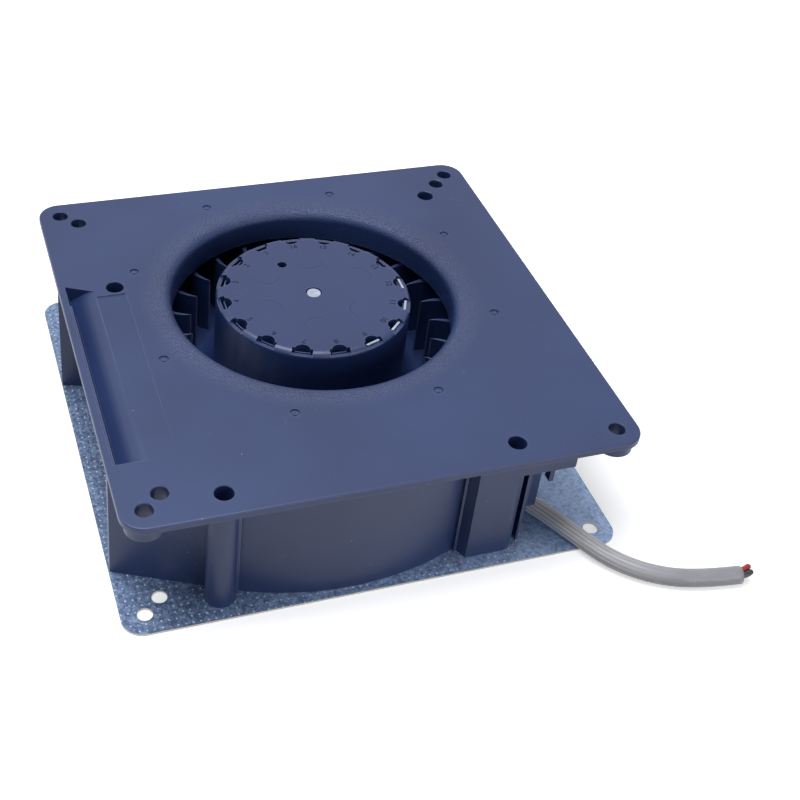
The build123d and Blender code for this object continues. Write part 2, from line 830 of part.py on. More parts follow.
# The shaft, with the groove for its retaining ring, and the conical spring on the ring
race_foot = lower_bearing_height - bearing_width / 2
ring_top = race_foot - spring_washer_rise - seat_clearance
ring_bottom = ring_top - ring_thickness

with BuildPart() as motor_shaft:
    with BuildSketch(level(shaft_bottom)):
        Circle(shaft_radius)
    extrude(amount=shaft_top - shaft_bottom)
    chamfer(motor_shaft.edges().filter_by(GeomType.CIRCLE), shaft_chamfer)
    with BuildSketch(level(ring_bottom)):
        Circle(shaft_radius)
        Circle(shaft_radius - ring_groove_depth, mode=Mode.SUBTRACT)
    extrude(amount=ring_thickness, mode=Mode.SUBTRACT)
write(motor_shaft, "motor_shaft")

with BuildPart() as retaining_ring:
    with BuildSketch(level(ring_bottom + seat_clearance)):
        Circle(ring_radius)
        Circle(shaft_radius - ring_groove_depth + seat_clearance, mode=Mode.SUBTRACT)
        Rectangle(ring_radius, ring_opening, align=(Align.MIN, Align.CENTER), mode=Mode.SUBTRACT)
    extrude(amount=ring_thickness - 2 * seat_clearance)
write(retaining_ring, "retaining_ring")

with BuildPart() as spring_washer:
    with BuildSketch(side_plane):
        Polygon(
            (shaft_radius + seat_clearance, race_foot - seat_clearance),
            (shaft_radius + seat_clearance, race_foot - seat_clearance - spring_washer_thickness),
            (spring_washer_radius, ring_top),
            (spring_washer_radius, ring_top + spring_washer_thickness),
            align=None,
        )
    revolve(axis=spin_axis)
write(spring_washer, "spring_washer")

# Rotor: a brass bush on the shaft carries the drawn steel bell and its ferrite ring
bell_under = bell_top - bell_wall_thickness
bush_hole = bush_radius + seat_clearance

with BuildPart() as rotor_bush:
    with BuildSketch(level(bush_bottom)):
        Circle(bush_collar_radius)
    extrude(amount=bush_collar_height)
    with BuildSketch(level(bush_bottom + bush_collar_height)):
        Circle(bush_radius)
    extrude(amount=bush_length - bush_collar_height)
    with BuildSketch(level(bell_under)):
        Circle(bush_flange_radius)
    extrude(amount=-bush_flange_thickness)
    with BuildSketch(level(bush_bottom)):
        Circle(shaft_radius + seat_clearance)
    extrude(amount=bush_length, mode=Mode.SUBTRACT)
write(rotor_bush, "rotor_bush")

with BuildPart() as rotor_bell:
    with BuildSketch(side_plane) as bell_section:
        Polygon(
            (bush_hole, bell_top),
            (bell_outer, bell_top),
            (bell_outer, bell_bottom),
            (bell_inner, bell_bottom),
            (bell_inner, bell_under),
            (bush_hole, bell_under),
            align=None,
        )
        fillet(bell_section.vertices().sort_by_distance((bell_outer, bell_top))[0], bell_corner)
        fillet(bell_section.vertices().sort_by_distance((bell_inner, bell_under))[0],
               bell_corner - bell_wall_thickness)
    revolve(axis=spin_axis)
write(rotor_bell, "rotor_bell")

with BuildPart() as rotor_magnet:
    with BuildSketch(level(stack_middle - magnet_length / 2)):
        Circle(magnet_outer)
        Circle(magnet_inner, mode=Mode.SUBTRACT)
    extrude(amount=magnet_length)
write(rotor_magnet, "rotor_magnet")

# The impeller: hub, back disc, forward curved blades and shroud ring
hub_inner_radius = hub_radius - hub_skin
blade_tip = (wheel_radius * cos(radians(-blade_sweep)), wheel_radius * sin(radians(-blade_sweep)))
blade_chord = Vector(blade_inner_radius, 0) - Vector(*blade_tip)
blade_side = Vector(blade_chord.Y, -blade_chord.X).normalized()
blade_middle = Vector(*blade_tip) + blade_chord * 0.5
tail_turn = degrees(blade_tail / wheel_radius)
blade_tail_point = (wheel_radius * cos(radians(tail_turn - blade_sweep)),
                    wheel_radius * sin(radians(tail_turn - blade_sweep)))

with BuildSketch(mode=Mode.PRIVATE) as blade_plan:
    with BuildLine():
        ThreePointArc((blade_inner_radius, 0), blade_middle + blade_side * blade_bow, blade_tip)
        Line(blade_tip, blade_tail_point)
        ThreePointArc(blade_tail_point, blade_middle + blade_side * (blade_bow + blade_thickness),
                      (blade_inner_radius, 0))
    make_face()

# One balancing pocket: a tangential slot with a half round behind it, and a low divider between
pocket_outer = hub_radius - pocket_rim
with BuildSketch(mode=Mode.PRIVATE) as pocket_plan:
    with Locations((pocket_outer - pocket_slot_depth / 2, 0)):
        Rectangle(pocket_slot_depth, pocket_slot_width)
    with Locations((pocket_outer - pocket_reach + pocket_round, 0)):
        Circle(pocket_round)
    with Locations((pocket_outer, 0)):
        Rectangle(pocket_round * 2, pocket_round * 2, align=(Align.MIN, Align.CENTER),
                  mode=Mode.SUBTRACT)

with BuildSketch(mode=Mode.PRIVATE) as cup_plan:
    add(pocket_plan.sketch)
    offset(amount=pocket_wall, kind=Kind.INTERSECTION)

pocket_floor = hub_face - pocket_depth

with BuildPart() as impeller:
    with BuildSketch(side_plane):
        with BuildLine():
            Line((0, hub_inner_face), (0, hub_face))
            Line((0, hub_face), (hub_radius - hub_edge_radius, hub_face))
            RadiusArc((hub_radius - hub_edge_radius, hub_face),
                      (hub_radius, hub_face - hub_edge_radius), hub_edge_radius)
            Line((hub_radius, hub_face - hub_edge_radius), (hub_radius, disc_top + hub_flare))
            RadiusArc((hub_radius, disc_top + hub_flare), (hub_radius + hub_flare, disc_top),
                      -hub_flare)
            Line((hub_radius + hub_flare, disc_top), (wheel_radius, disc_top))
            Line((wheel_radius, disc_top), (wheel_radius, wheel_floor))
            Line((wheel_radius, wheel_floor), (hub_radius + hub_flare, wheel_floor))
            RadiusArc((hub_radius + hub_flare, wheel_floor),
                      (hub_inner_radius, disc_top + hub_flare), hub_flare + hub_skin)
            Line((hub_inner_radius, disc_top + hub_flare), (hub_inner_radius, hub_inner_face))
            Line((hub_inner_radius, hub_inner_face), (0, hub_inner_face))
        make_face()
    revolve(axis=spin_axis)
    with BuildSketch(level(disc_top)):
        with PolarLocations(0, blade_count, start_angle=blade_phase):
            add(blade_plan.sketch)
    extrude(amount=shroud_bottom - disc_top)
    with BuildSketch(level(shroud_bottom)):
        Circle(wheel_radius)
        Circle(shroud_inner_radius, mode=Mode.SUBTRACT)
    extrude(amount=shroud_thickness)
    with BuildSketch(level(hub_inner_face)):
        with PolarLocations(0, pocket_count, start_angle=first_pocket_angle):
            add(cup_plan.sketch)
        Circle(hub_radius - pocket_rim / 2, mode=Mode.INTERSECT)
    extrude(amount=pocket_floor - pocket_wall - hub_inner_face)
    with BuildSketch(level(hub_inner_face)):
        with PolarLocations(bell_outer + seat_clearance, pocket_count,
                            start_angle=first_pocket_angle + 180 / pocket_count):
            Rectangle(hub_inner_radius - bell_outer, grip_rib, align=(Align.MIN, Align.CENTER))
    extrude(amount=disc_top + hub_flare - hub_inner_face)
    with BuildSketch(level(hub_inner_face)):
        Circle(seat_ring_outer)
        Circle(seat_ring_inner, mode=Mode.SUBTRACT)
    extrude(amount=-seat_ring_height)
    with BuildSketch(level(hub_face)):
        with PolarLocations(0, pocket_count, start_angle=first_pocket_angle):
            add(pocket_plan.sketch)
    extrude(amount=-pocket_depth, mode=Mode.SUBTRACT)
    with BuildSketch(level(hub_face)):
        with PolarLocations(pocket_outer, pocket_count, start_angle=first_pocket_angle):
            Rectangle(2 * pocket_rim, pocket_slot_width, align=(Align.MIN, Align.CENTER))
    extrude(amount=-pocket_notch, mode=Mode.SUBTRACT)
    with BuildSketch(level(pocket_floor)):
        with PolarLocations(pocket_outer - divider_inset, pocket_count,
                            start_angle=first_pocket_angle):
            Rectangle(divider_thickness, divider_width, align=(Align.MAX, Align.CENTER))
    extrude(amount=pocket_depth - divider_drop)
    with BuildSketch(level(hub_face)):
        Circle(shaft_radius + shaft_hole_clearance)
        with PolarLocations(locating_hole_circle, 1, start_angle=locating_hole_angle):
            Circle(locating_hole_radius)
    extrude(amount=-hub_face_thickness, mode=Mode.SUBTRACT)
write(impeller, "impeller")

# Steel balancing clips, pushed into four of the pockets
with BuildPart() as balance_clips:
    for pocket in clip_pockets:
        angle = first_pocket_angle + 360 / pocket_count * (pocket - 1)
        with BuildSketch(facing(angle, pocket_floor, pocket_outer - clip_seat)):
            Rectangle(clip_width, clip_height, align=(Align.CENTER, Align.MIN))
        extrude(amount=-clip_thickness)
write(balance_clips, "balance_clips")

# The sleeve lies on the base plate and then on the floor
with BuildPart() as lead_sleeve:
    with BuildLine():
        FilletPolyline(*sleeve_route, radius=corner_radii(sleeve_route))
    with BuildSketch(Plane(origin=sleeve_start, z_dir=-first_run)):
        Circle(sleeve_diameter / 2)
    sweep()
write(lead_sleeve, "lead_sleeve")


def wire_start(side):
    return sleeve_start + sleeve_side * (side * wire_offset)


def wire_path(side):
    """From the sleeve's inner end, low under the impeller and up to the board."""
    axis_point = Vector(rotor_x, rotor_y)
    outward = (Vector(sleeve_start.X, sleeve_start.Y) - axis_point).normalized()
    across = Vector(outward.Y, -outward.X) * (side * wire_offset)
    start = wire_start(side)
    points = [start, start + first_run * wire_first_run]
    inner_radius = (Vector(sleeve_start.X, sleeve_start.Y) - axis_point).length - wire_inward
    points += [axis_point + across + outward * radius + Vector(0, 0, height)
               for radius, height in ((inner_radius, wire_low), *wire_route)]
    last = points[-1]
    points.append(Vector(last.X, last.Y, board_bottom))
    return points


for name, side, tail in (("red_lead", 1, red_tail), ("black_lead", -1, black_tail)):
    path = wire_path(side)
    with BuildPart() as wire:
        with BuildLine():
            FilletPolyline(*path, radius=corner_radii(path))
        with BuildSketch(Plane(origin=path[0], z_dir=first_run)):
            Circle(wire_diameter / 2)
        sweep()
    write(wire, name)
    with BuildPart() as wire_tail:
        with BuildSketch(Plane(origin=sleeve_end + end_side * (side * wire_offset), z_dir=last_run)):
            Circle(wire_diameter / 2)
        extrude(amount=tail)
    write(wire_tail, f"{name}_tail")
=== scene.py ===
import json
import math

import bmesh
import bpy
from mathutils import Matrix, Vector


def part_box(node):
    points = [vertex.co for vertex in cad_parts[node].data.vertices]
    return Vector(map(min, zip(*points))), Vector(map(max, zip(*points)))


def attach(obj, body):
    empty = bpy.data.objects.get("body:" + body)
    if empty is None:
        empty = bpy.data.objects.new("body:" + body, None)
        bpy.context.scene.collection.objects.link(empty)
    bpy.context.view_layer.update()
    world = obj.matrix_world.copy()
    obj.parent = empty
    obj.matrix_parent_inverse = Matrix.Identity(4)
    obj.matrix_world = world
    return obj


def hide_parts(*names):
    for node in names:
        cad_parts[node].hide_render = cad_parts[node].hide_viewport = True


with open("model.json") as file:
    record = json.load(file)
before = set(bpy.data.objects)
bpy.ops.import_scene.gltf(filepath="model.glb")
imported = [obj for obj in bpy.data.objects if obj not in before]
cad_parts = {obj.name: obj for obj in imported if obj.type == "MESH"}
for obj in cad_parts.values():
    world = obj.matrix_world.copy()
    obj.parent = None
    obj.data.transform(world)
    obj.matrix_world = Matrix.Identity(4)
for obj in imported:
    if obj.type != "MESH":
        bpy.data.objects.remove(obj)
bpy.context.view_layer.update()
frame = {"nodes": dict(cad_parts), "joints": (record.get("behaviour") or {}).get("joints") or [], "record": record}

# The photograph's viewing place: the front left, about 670 mm away, looking down across the
# cover. The picture was cropped, so the lens is shifted a little, and no more than it needs.
VIEW_PLACE = (-0.17299, -0.46423, 0.44779)
VIEW_RIGHT = (0.94813, -0.30750, 0.08059)
VIEW_AHEAD = (0.29213, 0.74291, -0.60228)
VIEW_ANGLE = 2 * math.atan(400 / 1394.1)
VIEW_SHIFT = (0.0741, -0.1331)

ahead = Vector(VIEW_AHEAD).normalized()
right = Vector(VIEW_RIGHT)
right = (right - ahead * right.dot(ahead)).normalized()
over = right.cross(ahead)
viewer = bpy.data.cameras.new("photo_view")
viewer.angle = VIEW_ANGLE
viewer.shift_x, viewer.shift_y = VIEW_SHIFT
viewer.clip_start, viewer.clip_end = 0.01, 20
view_object = bpy.data.objects.new("photo_view", viewer)
bpy.context.scene.collection.objects.link(view_object)
turned = Matrix((right, over, -ahead)).transposed().to_4x4()
view_object.matrix_world = Matrix.Translation(VIEW_PLACE) @ turned
bpy.context.scene.camera = view_object


# The lead's sleeve: a soft varnished glass sleeve over two wires. It leaves the strain relief
# low over the plate, passes over the plate's front edge and ends cut square in the open.
SLEEVE_ROUTE = (
    (0.0705, -0.0725, 0.0051),
    (0.0806, -0.0880, 0.0051),
    (0.0915, -0.1105, 0.0051),
    (0.0995, -0.1235, 0.0047),
    (0.1130, -0.1345, 0.0043),
    (0.1310, -0.1412, 0.0041),
    (0.1500, -0.1432, 0.0041),
)
SLEEVE_DIAMETER = 0.0080
SLEEVE_WALL = 0.0009
SLEEVE_SIDES = 112
SLEEVE_RIBS = 14
SLEEVE_RIB_HEIGHT = 0.00030
SLEEVE_RIB_END = 0.70
SLEEVE_PLAIT = (34.0, 90.0)
SLEEVE_LIGHT = (0.31, 0.315, 0.36)
SLEEVE_DARK = (0.25, 0.245, 0.275)
SLEEVE_PAINTED_LIGHT = (0.85, 0.84, 0.85)
SLEEVE_PAINTED_LIGHT_REACH = (0.025, 0.085)
SLEEVE_GROOVE_SHADE = (0.24, 0.23, 0.22)
SLEEVE_GROOVE_SHADE_SHARE = 0.75
SLEEVE_GROOVE_SHADE_FADE = (0.45, 0.85)
SLEEVE_WEAVE_REACH = 0.00012


def opaque(rgb):
    """A plain colour as a node's socket takes it."""
    return (*rgb, 1.0)


def node_in(tree, kind, settings=(), **values):
    """Adds a node, with its settings and the values of its named inputs."""
    made = tree.nodes.new(kind)
    for key, value in dict(settings).items():
        setattr(made, key, value)
    for key, value in values.items():
        made.inputs[key.replace("_", " ")].default_value = value
    return made


def feed(tree, socket, value):
    """Joins a socket to another one, or sets it to a plain value."""
    if isinstance(value, bpy.types.NodeSocket):
        tree.links.new(value, socket)
    else:
        socket.default_value = value


def place_of(tree):
    """The point on the piece, in metres from the middle of the plate."""
    return node_in(tree, "ShaderNodeTexCoord").outputs["Object"]


def maths(tree, how, first, second=0.0):
    """One sum of two values."""
    made = node_in(tree, "ShaderNodeMath", {"operation": how})
    feed(tree, made.inputs[0], first)
    feed(tree, made.inputs[1], second)
    return made.outputs[0]


def vectors(tree, how, first, second, result="Vector"):
    """One sum of two vectors."""
    made = node_in(tree, "ShaderNodeVectorMath", {"operation": how})
    feed(tree, made.inputs[0], first)
    feed(tree, made.inputs[1], second)
    return made.outputs[result]


def span(tree, source, low, high, to_low=0.0, to_high=1.0):
    """Maps a value between two limits onto another span."""
    made = node_in(tree, "ShaderNodeMapRange", {"clamp": True}, From_Min=low, From_Max=high,
                   To_Min=to_low, To_Max=to_high)
    tree.links.new(source, made.inputs["Value"])
    return made.outputs["Result"]


def mixed(tree, share, first, second):
    """Goes from one colour to another by a mask."""
    made = node_in(tree, "ShaderNodeMix", {"data_type": "RGBA"})
    feed(tree, made.inputs[0], share)
    feed(tree, made.inputs[6], first)
    feed(tree, made.inputs[7], second)
    return made.outputs[2]


def clouds(tree, place, waves, detail, roughness=0.55):
    """Cloudy variation, with this many waves for each metre."""
    made = node_in(tree, "ShaderNodeTexNoise", Scale=waves, Detail=detail, Roughness=roughness)
    tree.links.new(place, made.inputs["Vector"])
    return made.outputs["Fac"]


def relief(tree, height, reach, strength, under=None):
    """A bump of this reach in metres, over another one where there is one."""
    made = node_in(tree, "ShaderNodeBump", Strength=strength, Distance=reach)
    tree.links.new(height, made.inputs["Height"])
    if under is not None:
        tree.links.new(under, made.inputs["Normal"])
    return made.outputs["Normal"]


def effect(name, inputs, outputs):
    """A shader group with named inputs and outputs. Returns its tree and its two ends."""
    group = bpy.data.node_groups.new(name, "ShaderNodeTree")
    for key, kind, value in inputs:
        socket = group.interface.new_socket(key, in_out="INPUT", socket_type=kind)
        if value is not None:
            socket.default_value = value
    for key, kind in outputs:
        group.interface.new_socket(key, in_out="OUTPUT", socket_type=kind)
    entry, exit_node = group.nodes.new("NodeGroupInput"), group.nodes.new("NodeGroupOutput")
    return group, entry.outputs, exit_node.inputs


def use(tree, group, **values):
    """Places an effect in a material, with its own values, and returns its outputs."""
    made = tree.nodes.new("ShaderNodeGroup")
    made.node_tree = group
    for key, value in values.items():
        feed(tree, made.inputs[key], value)
    return made.outputs


FLOAT, VECTOR = "NodeSocketFloat", "NodeSocketVector"

# fine grain, with a slow change of tone
grain, given, result = effect(
    "moulded_grain",
    (("Place", VECTOR, None), ("Fine", FLOAT, 2600.0), ("Slow", FLOAT, 16.0)),
    (("Height", FLOAT), ("Tone", FLOAT)),
)
fine = node_in(grain, "ShaderNodeTexNoise", Detail=2.0)
grain.links.new(given["Place"], fine.inputs["Vector"])
grain.links.new(given["Fine"], fine.inputs["Scale"])
slow = node_in(grain, "ShaderNodeTexNoise", Detail=3.0)
grain.links.new(given["Place"], slow.inputs["Vector"])
grain.links.new(given["Slow"], slow.inputs["Scale"])
grain.links.new(fine.outputs["Fac"], result["Height"])
grain.links.new(span(grain, slow.outputs["Fac"], 0.3, 0.7), result["Tone"])


def new_finish(name, roughness, metallic=0.0):
    """A new material: its node tree and its own shader."""
    made = bpy.data.materials.new(name)
    made.use_nodes = True
    shader = made.node_tree.nodes["Principled BSDF"]
    shader.inputs["Roughness"].default_value = roughness
    shader.inputs["Metallic"].default_value = metallic
    return made, made.node_tree, shader


def smooth_line(points, name):
    """One open spline that takes the route's points as its control points."""
    line = bpy.data.curves.new(name, "CURVE")
    line.dimensions = "3D"
    line.resolution_u = 16
    spline = line.splines.new("NURBS")
    spline.points.add(len(points) - 1)
    for point, place in zip(spline.points, points):
        point.co = (*place, 1.0)
    spline.order_u = 3
    spline.use_endpoint_u = True
    carrier = bpy.data.objects.new(name, line)
    bpy.context.scene.collection.objects.link(carrier)
    bpy.context.view_layer.update()
    drawn = bpy.data.meshes.new_from_object(carrier)
    places = [vertex.co.copy() for vertex in drawn.vertices]
    bpy.data.objects.remove(carrier)
    bpy.data.meshes.remove(drawn)
    return places


def across(path):
    """Each point of a line that lies nearly flat, with its sideways and upward directions."""
    frames = []
    for n, place in enumerate(path):
        along = (path[min(n + 1, len(path) - 1)] - path[max(n - 1, 0)]).normalized()
        side = along.cross(Vector((0, 0, 1))).normalized()
        frames.append((place, side, side.cross(along)))
    return frames


def loft(rings, closed=False):
    """Joins rings of points into a band. A closed one joins its last ring to its first."""
    form = bmesh.new()
    rows = [[form.verts.new(point) for point in ring] for ring in rings]
    for first, second in zip(rows, rows[1:] + (rows[:1] if closed else [])):
        for n in range(len(first)):
            after = (n + 1) % len(first)
            form.faces.new((first[n], first[after], second[after], second[n]))
    if not closed:
        form.faces.new(rows[0])
        form.faces.new(reversed(rows[-1]))
    return form


def add_piece(form, name, body, material):
    """Turns a built form into a smooth piece that rides on a body."""
    shape = bpy.data.meshes.new(name)
    bmesh.ops.recalc_face_normals(form, faces=form.faces)
    form.to_mesh(shape)
    form.free()
    shape.materials.append(material)
    for face in shape.polygons:
        face.use_smooth = True
    piece = bpy.data.objects.new(name, shape)
    bpy.context.scene.collection.objects.link(piece)
    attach(piece, body)
    return piece


sleeve_line = smooth_line(SLEEVE_ROUTE, "sleeve_line")
outer_rings, inner_rings = [], []
for n, (place, side, lift) in enumerate(across(sleeve_line)):
    ribs = SLEEVE_RIB_HEIGHT * max(0.0, 1 - n / (SLEEVE_RIB_END * len(sleeve_line)))
    outer_ring, inner_ring = [], []
    for m in range(SLEEVE_SIDES):
        turn = 2 * math.pi * m / SLEEVE_SIDES
        facing = side * math.cos(turn) + lift * math.sin(turn)
        groove = ribs * (0.5 + 0.5 * math.cos(SLEEVE_RIBS * turn)) ** 2
        outer_ring.append(place + facing * (SLEEVE_DIAMETER / 2 - groove))
        inner_ring.append(place + facing * (SLEEVE_DIAMETER / 2 - SLEEVE_WALL))
    outer_rings.append(outer_ring)
    inner_rings.append(inner_ring)

sleeve_finish, tree, shader = new_finish("varnished_glass_sleeve", 0.38)
place = place_of(tree)
weave = use(tree, grain, Place=place, Fine=1500.0, Slow=45.0)
tint = mixed(tree, weave["Tone"], opaque(SLEEVE_LIGHT), opaque(SLEEVE_DARK))
from_exit = vectors(tree, "DISTANCE", place, SLEEVE_ROUTE[0], "Value")
# painted light: the sleeve is painted far lighter near the strain relief, where the cover shades it, and goes over
# to its own tint further along
tint = mixed(tree, span(tree, from_exit, *SLEEVE_PAINTED_LIGHT_REACH), opaque(SLEEVE_PAINTED_LIGHT), tint)
unrolled = node_in(tree, "ShaderNodeSeparateXYZ")
tree.links.new(node_in(tree, "ShaderNodeTexCoord").outputs["UV"], unrolled.inputs["Vector"])
turns, run = unrolled.outputs["X"], unrolled.outputs["Y"]
# painted shade: dark lines along the rib grooves, fading out towards the sleeve's cut end
groove = maths(tree, "COSINE", maths(tree, "MULTIPLY", turns, 2 * math.pi * SLEEVE_RIBS))
fading = span(tree, run, *SLEEVE_GROOVE_SHADE_FADE, SLEEVE_GROOVE_SHADE_SHARE, 0.0)
groove = maths(tree, "MULTIPLY", span(tree, groove, 0.55, 1.0), fading)
feed(tree, shader.inputs["Base Color"], mixed(tree, groove, tint, opaque(SLEEVE_GROOVE_SHADE)))
around = maths(tree, "MULTIPLY", turns, 2 * math.pi * SLEEVE_PLAIT[0])
lengthwise = maths(tree, "MULTIPLY", run, 2 * math.pi * SLEEVE_PLAIT[1])
leaning = [maths(tree, "SINE", maths(tree, how, around, lengthwise)) for how in ("ADD", "SUBTRACT")]
plait = relief(tree, maths(tree, "MULTIPLY", *leaning), SLEEVE_WEAVE_REACH, 0.6)
feed(tree, shader.inputs["Normal"], relief(tree, weave["Height"], SLEEVE_WEAVE_REACH, 0.4, plait))
shader.inputs["Subsurface Weight"].default_value = 0.2
shader.inputs["Subsurface Radius"].default_value = (0.002, 0.002, 0.0018)
shader.inputs["Coat Weight"].default_value = 0.5

sleeve_form = loft(outer_rings + inner_rings[::-1], closed=True)
sleeve_form.verts.index_update()
unrolling = sleeve_form.loops.layers.uv.new("unrolled")
for face in sleeve_form.faces:
    last = any(corner.vert.index % SLEEVE_SIDES == SLEEVE_SIDES - 1 for corner in face.loops)
    for corner in face.loops:
        ring, step = divmod(corner.vert.index, SLEEVE_SIDES)
        step += SLEEVE_SIDES if last and step == 0 else 0
        ring = min(ring, 2 * len(sleeve_line) - 1 - ring)
        corner[unrolling].uv = (step / SLEEVE_SIDES, ring / (len(sleeve_line) - 1))
sleeve = add_piece(sleeve_form, "glass_sleeve", "housing", sleeve_finish)
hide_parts("lead_sleeve")


# The red and the black wire, in smooth insulation. They run side by side through the sleeve's
# last stretch and show as two short cut ends that curl up and away.
WIRE_DIAMETER = 0.0026
WIRE_OFFSET = 0.0015
WIRE_LIFT = 0.0010
WIRE_SIDES = 28
WIRE_CURL = 0.50
WIRE_RISE = 0.6
WIRE_STEPS = 12
WIRE_POINTS_INSIDE = 40
WIRES = (
    ("red_wire_end", "red_lead_tail", "red_insulation", 1, 0.0058,
     (0.42, 0.012, 0.03), (0.24, 0.006, 0.018)),
    ("black_wire_end", "black_lead_tail", "black_insulation", -1, 0.0056,
     (0.012, 0.012, 0.014), (0.03, 0.03, 0.034)),
)
in_sleeve = across(sleeve_line)[-WIRE_POINTS_INSIDE:]
end_side, end_lift = in_sleeve[-1][1:]
end_along = end_lift.cross(end_side)
for name, node, slot, hand, reach, light, dark in WIRES:
    material, tree, shader = new_finish(slot, 0.34)
    place = place_of(tree)
    skin = use(tree, grain, Place=place, Fine=1800.0, Slow=300.0)
    feed(tree, shader.inputs["Base Color"], mixed(tree, skin["Tone"], opaque(light), opaque(dark)))
    feed(tree, shader.inputs["Normal"], relief(tree, skin["Height"], 0.0001, 0.25))
    line = [spot - side * hand * WIRE_OFFSET + lift * WIRE_LIFT for spot, side, lift in in_sleeve]
    heading = end_along.copy()
    bend = WIRE_CURL / WIRE_STEPS
    for n in range(WIRE_STEPS):
        heading = (heading - end_side * bend + end_lift * bend * WIRE_RISE).normalized()
        line.append(line[-1] + heading * reach / WIRE_STEPS)
    rings = []
    for n, (spot, side, lift) in enumerate(across(line)):
        # the last two rings draw in, which rounds the cut end
        to_end = min(len(line) - 1 - n, 2) / 2
        radius = WIRE_DIAMETER / 2 * (0.6 + 0.4 * math.sqrt(1 - (1 - to_end) ** 2))
        ring = []
        for m in range(WIRE_SIDES):
            turn = 2 * math.pi * m / WIRE_SIDES
            ring.append(spot + (side * math.cos(turn) + lift * math.sin(turn)) * radius)
        rings.append(ring)
    wire_end = add_piece(loft(rings), name, "housing", material)
    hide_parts(node)


# The scroll housing: one moulding in glass filled black nylon, satin from the tool, with grain
# on the rolled inlet, pale dust and a few light scratches, and a painted highlight along its edges.
HOUSING_LIGHT = (0.018, 0.037, 0.122)
HOUSING_DARK = (0.010, 0.024, 0.088)
EDGE_HIGHLIGHT_AND_SCRATCH = (0.18, 0.21, 0.32)
DUST_COLOUR = (0.42, 0.45, 0.55)
NYLON_SHINE = 0.50
NYLON_GRAIN_REACH = 0.00006
SCUFF_STRENGTH = 0.15
DUST_STRENGTH = 0.8
INLET_GRAIN_IN = (0.064, 0.068)
INLET_GRAIN_OUT = (0.080, 0.071)
INLET_GRAIN_WAVES = 1500.0
INLET_GRAIN_REACH = 0.0008
SHARP_ANGLE = math.radians(30)
rotor_axis = Vector(frame["joints"][0]["pos_m"])

# pale dust: a few small spots in random cells
dust, given, result = effect(
    "dust_specks",
    (("Place", VECTOR, None), ("Cells", FLOAT, 300.0), ("Size", FLOAT, 0.065),
     ("Share", FLOAT, 0.03)),
    (("Mask", FLOAT),),
)
cell = node_in(dust, "ShaderNodeTexVoronoi")
dust.links.new(given["Place"], cell.inputs["Vector"])
dust.links.new(given["Cells"], cell.inputs["Scale"])
chosen = node_in(dust, "ShaderNodeSeparateColor")
dust.links.new(cell.outputs["Color"], chosen.inputs["Color"])
near = maths(dust, "LESS_THAN", cell.outputs["Distance"], given["Size"])
lucky = maths(dust, "LESS_THAN", chosen.outputs["Red"], given["Share"])
dust.links.new(maths(dust, "MULTIPLY", near, lucky), result["Mask"])

# fine scratches: thin broken lines between stretched cells
scratches, given, result = effect(
    "fine_scratches",
    (("Place", VECTOR, None), ("Stretch", VECTOR, (60.0, 400.0, 60.0)), ("Width", FLOAT, 0.012),
     ("Share", FLOAT, 0.68)),
    (("Mask", FLOAT),),
)
drawn = vectors(scratches, "MULTIPLY", given["Place"], given["Stretch"])
warp = node_in(scratches, "ShaderNodeTexNoise", Scale=40.0)
scratches.links.new(given["Place"], warp.inputs["Vector"])
drawn = vectors(scratches, "ADD", drawn, warp.outputs["Color"])
line_cell = node_in(scratches, "ShaderNodeTexVoronoi", {"feature": "DISTANCE_TO_EDGE"}, Scale=1.0)
scratches.links.new(drawn, line_cell.inputs["Vector"])
thin = maths(scratches, "LESS_THAN", line_cell.outputs["Distance"], given["Width"])
patch = node_in(scratches, "ShaderNodeTexNoise", Scale=70.0, Detail=4.0)
scratches.links.new(given["Place"], patch.inputs["Vector"])
broken = maths(scratches, "GREATER_THAN", patch.outputs["Fac"], given["Share"])
scratches.links.new(maths(scratches, "MULTIPLY", thin, broken), result["Mask"])

# painted highlight on the edges: a lighter colour, in patches, where a small rounding would turn the surface
edges, given, result = effect(
    "painted_edge_highlights",
    (("Place", VECTOR, None), ("Radius", FLOAT, 0.0006), ("Patchy", FLOAT, 160.0)),
    (("Mask", FLOAT),),
)
rounded = node_in(edges, "ShaderNodeBevel", {"samples": 4})
edges.links.new(given["Radius"], rounded.inputs["Radius"])
flat = node_in(edges, "ShaderNodeNewGeometry")
alike = vectors(edges, "DOT_PRODUCT", rounded.outputs["Normal"], flat.outputs["Normal"], "Value")
worn = node_in(edges, "ShaderNodeTexNoise", Detail=3.0)
edges.links.new(given["Place"], worn.inputs["Vector"])
edges.links.new(given["Patchy"], worn.inputs["Scale"])
patchy = span(edges, worn.outputs["Fac"], 0.25, 0.6, 0.45, 1.0)
edge_mask = maths(edges, "MULTIPLY", span(edges, alike, 0.99, 0.80), patchy)
edges.links.new(edge_mask, result["Mask"])


def smooth_shaded(node):
    """Shades a CAD node smoothly, apart from its sharp edges."""
    shape = frame["nodes"][node].data
    for face in shape.polygons:
        face.use_smooth = True
    shape.set_sharp_from_angle(angle=SHARP_ANGLE)


def dress(node, material):
    """A CAD node keeps its shape and gets this finish."""
    shape = frame["nodes"][node].data
    shape.materials.clear()
    shape.materials.append(material)
    for face in shape.polygons:
        face.material_index = 0


def distance_from_axis(tree, place):
    """How far a point is from the rotor's axis, in metres."""
    flat_place = vectors(tree, "MULTIPLY", place, (1.0, 1.0, 0.0))
    return vectors(tree, "DISTANCE", flat_place, (rotor_axis.x, rotor_axis.y, 0.0), "Value")


def laid_over(tree, tint, mask, share, colour):
    """Lays a colour over a tint where a mask shows, at this share of its strength."""
    return mixed(tree, maths(tree, "MULTIPLY", mask, share), tint, opaque(colour))


